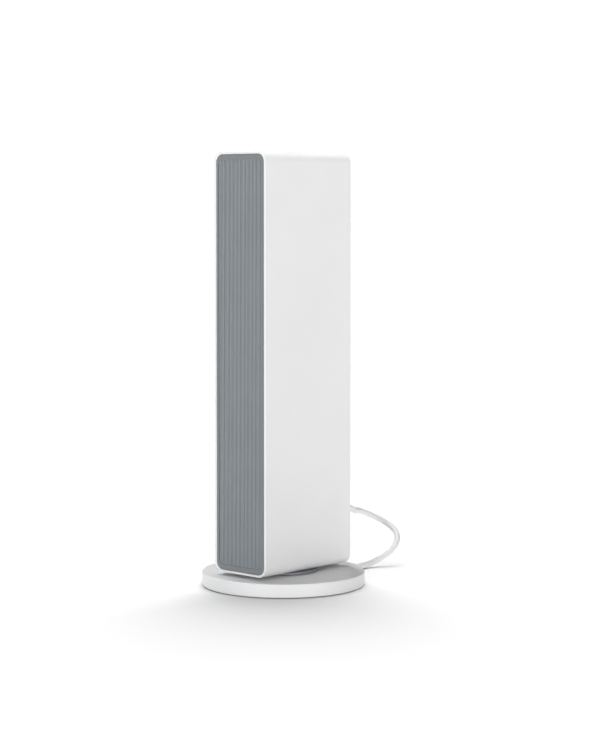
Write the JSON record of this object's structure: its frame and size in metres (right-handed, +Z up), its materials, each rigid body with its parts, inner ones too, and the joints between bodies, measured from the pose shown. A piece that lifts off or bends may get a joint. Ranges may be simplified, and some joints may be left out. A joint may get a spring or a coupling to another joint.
{
  "type": "tower air purifier",
  "caption": "Slim upright air purifier with a ribbed grille, turning on a round base, with a rear filter and mains lead.",
  "frame": {"origin": "centre of the base's underside, on the surface it stands on", "axes": "+Z up, front grille towards -Y, rear cover and lead towards +Y"},
  "size_m": [0.2427, 0.2617, 0.4324],
  "materials": {
    "white_shell": "moulded ABS, fine satin",
    "grey_grille": "fine matte moulding",
    "rotor_plastic": "glass-filled moulding, matte",
    "dark_plastic": "matte moulding",
    "inner_plastic": "plain moulding, matte",
    "steel": "zinc-plated, satin",
    "ballast_iron": "as cast, painted dark",
    "rubber": "matte",
    "nylon": "natural nylon",
    "filter_paper": "pleated nonwoven",
    "carbon_sheet": "carbon-loaded nonwoven",
    "foam": "closed-cell foam",
    "circuit_board": "solder-masked laminate",
    "display_lens": "smoked, polished",
    "lead_jacket": "satin PVC",
    "plated_pin": "nickel plated"
  },
  "bodies": {
    "base": {"base_cover": "white_shell", "base_plate": "ballast_iron", "foot_back_right": "rubber", "foot_back_left": "rubber", "foot_front_left": "rubber", "foot_front_right": "rubber", "base_post": "steel", "base_screw_1": "steel", "base_screw_2": "steel", "base_screw_3": "steel", "thrust_washer": "nylon", "post_retainer": "steel", "sun_gear": "nylon", "cord_run": "lead_jacket", "cord_coil": "lead_jacket", "cord_tie": "dark_plastic", "cord_tail": "lead_jacket", "plug_body": "lead_jacket", "plug_pin_left": "plated_pin", "plug_pin_right": "plated_pin"},
    "tower": {"sleeve": "white_shell", "turntable": "dark_plastic", "turntable_screw_1": "steel", "turntable_screw_2": "steel", "turntable_screw_3": "steel", "lower_deck": "inner_plastic", "upper_deck": "inner_plastic", "upper_bush": "nylon", "fan_motor": "dark_plastic", "swivel_motor": "steel", "swivel_bracket": "steel", "scroll_wall": "inner_plastic", "air_tongue": "inner_plastic", "filter_seat": "inner_plastic", "rear_panel": "white_shell", "panel_screw_1": "steel", "panel_screw_2": "steel", "cord_gland": "dark_plastic", "strain_relief": "lead_jacket", "front_grille": "grey_grille", "control_panel": "dark_plastic", "display_lens": "display_lens", "swing_switch": "dark_plastic", "speed_switch": "dark_plastic", "power_switch": "dark_plastic", "control_board": "circuit_board", "power_board": "circuit_board"},
    "impeller": {"impeller": "rotor_plastic", "drive_shaft": "steel", "top_axle": "steel"},
    "pinion": {"pinion": "nylon"},
    "rear_cover": {"rear_cover": "white_shell"},
    "filter": {"filter_frame": "white_shell", "filter_gasket": "foam", "pleated_medium": "filter_paper", "carbon_sheet": "carbon_sheet", "filter_pull_tab": "dark_plastic"},
    "swing_button": {"swing_button": "white_shell"},
    "speed_button": {"speed_button": "white_shell"},
    "power_button": {"power_button": "white_shell"}
  },
  "joints": [
    {"name": "swivel", "type": "hinge", "parent": "base", "child": "tower", "pos_m": [0, 0, 0.014], "axis": [0, 0, 1], "range_deg": [-40, 40]},
    {"name": "impeller_spin", "type": "hinge", "parent": "tower", "child": "impeller", "pos_m": [-0.003, -0.016, 0.25], "axis": [0, 0, 1], "continuous": true},
    {"name": "pinion_spin", "type": "hinge", "parent": "tower", "child": "pinion", "pos_m": [0, -0.0273, 0.029], "axis": [0, 0, 1], "range_deg": [-100, 100]},
    {"name": "rear_cover_pull", "type": "slide", "parent": "tower", "child": "rear_cover", "axis": [0, 1, 0], "range_m": [0, 0.16]},
    {"name": "filter_pull", "type": "slide", "parent": "tower", "child": "filter", "axis": [0, 1, 0], "range_m": [0, 0.08]},
    {"name": "swing_press", "type": "slide", "parent": "tower", "child": "swing_button", "axis": [0, 0, -1], "range_m": [0, 0.0008], "stiffness_N_per_m": 800, "springref_m": -0.001},
    {"name": "speed_press", "type": "slide", "parent": "tower", "child": "speed_button", "axis": [0, 0, -1], "range_m": [0, 0.0008], "stiffness_N_per_m": 800, "springref_m": -0.001},
    {"name": "power_press", "type": "slide", "parent": "tower", "child": "power_button", "axis": [0, 0, -1], "range_m": [0, 0.0008], "stiffness_N_per_m": 800, "springref_m": -0.001}
  ],
  "couplings": [
    {"joint": "pinion_spin", "follows": "swivel", "ratio": 2.5},
    {"joint": "filter_pull", "follows": "rear_cover_pull", "ratio": 0.5}
  ]
}
